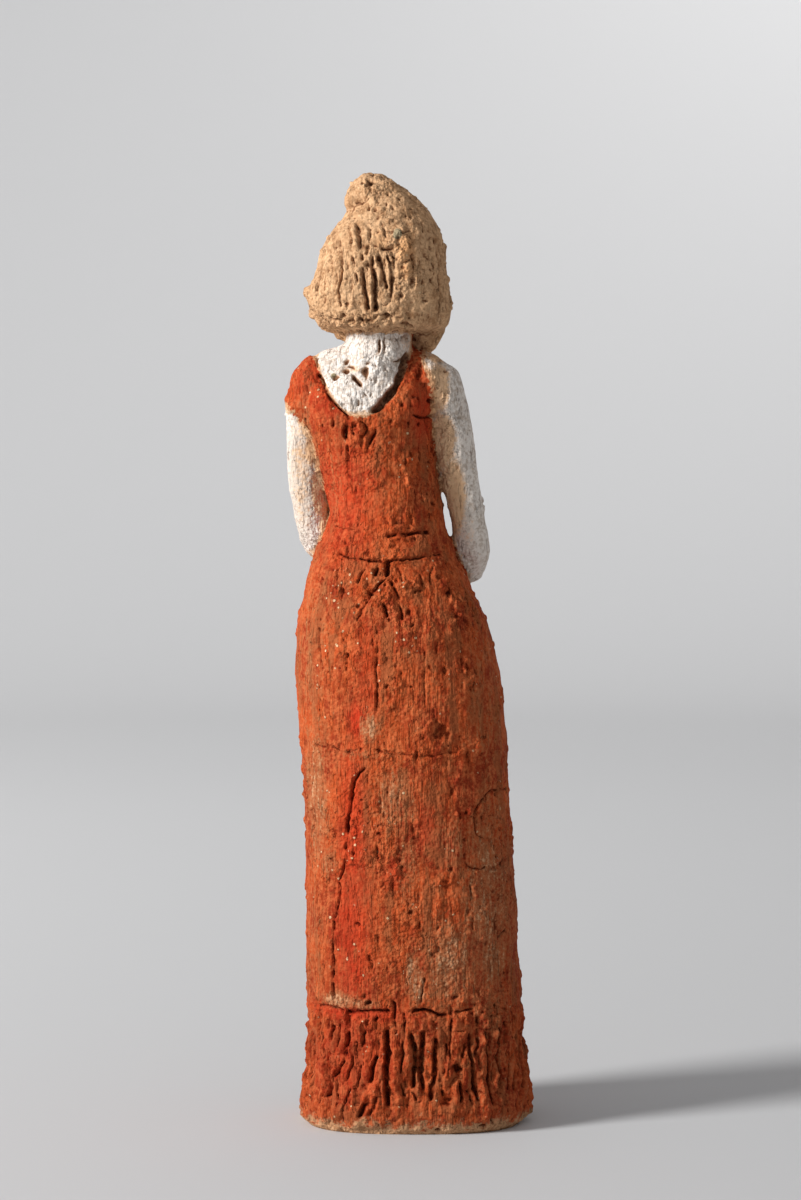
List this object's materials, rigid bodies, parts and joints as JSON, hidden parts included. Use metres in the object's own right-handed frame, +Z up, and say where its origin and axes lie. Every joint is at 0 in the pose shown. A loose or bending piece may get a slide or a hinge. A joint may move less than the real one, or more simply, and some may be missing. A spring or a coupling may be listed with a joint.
{
  "type": "terracotta figure",
  "caption": "Standing woman in a long red dress with a fringed hem and scooped back, hands folded, hair pinned up, in coarse painted terracotta.",
  "frame": {"origin": "middle of the flat underside, on the surface that the figure stands on", "axes": "+Z up, the figure faces -Y and its left side is +X"},
  "size_m": [0.1037, 0.075, 0.4],
  "materials": {
    "clay": "coarse grogged fired clay, unglazed, with matt orange-red and white slip worn to the tan body"
  },
  "bodies": {
    "root": {"figure": "clay"}
  },
  "joints": []
}
